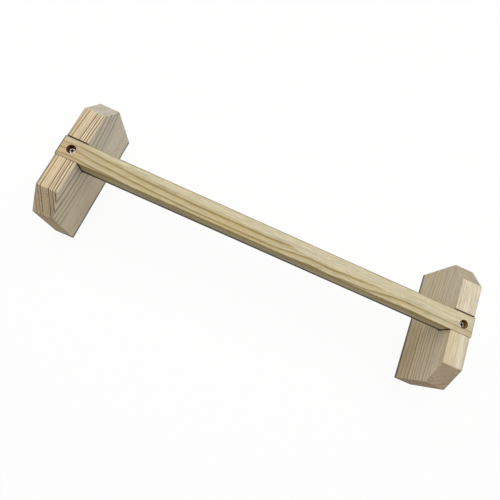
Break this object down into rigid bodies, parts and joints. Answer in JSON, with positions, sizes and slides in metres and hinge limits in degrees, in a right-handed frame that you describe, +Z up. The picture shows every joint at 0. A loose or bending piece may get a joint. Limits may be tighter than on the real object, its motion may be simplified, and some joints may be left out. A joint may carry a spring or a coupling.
{
  "type": "parallette bar",
  "caption": "Low wooden exercise bar: a square pine grip bar housed flush in upright foot blocks with cut corners, held by counterbored screws, for push-ups and handstands.",
  "frame": {"origin": "on the floor, under the middle of the grip bar", "axes": "+X along the grip bar towards the right foot, +Y along the feet, +Z up"},
  "size_m": [0.6, 0.179, 0.117],
  "materials": {
    "bar_pine": "planed, bare",
    "left_foot_pine": "planed, bare",
    "right_foot_pine": "planed, bare",
    "screw_steel": "zinc plated"
  },
  "bodies": {
    "root": {"grip_bar": "bar_pine", "left_foot": "left_foot_pine", "right_foot": "right_foot_pine", "left_screw": "screw_steel", "right_screw": "screw_steel"}
  },
  "joints": []
}
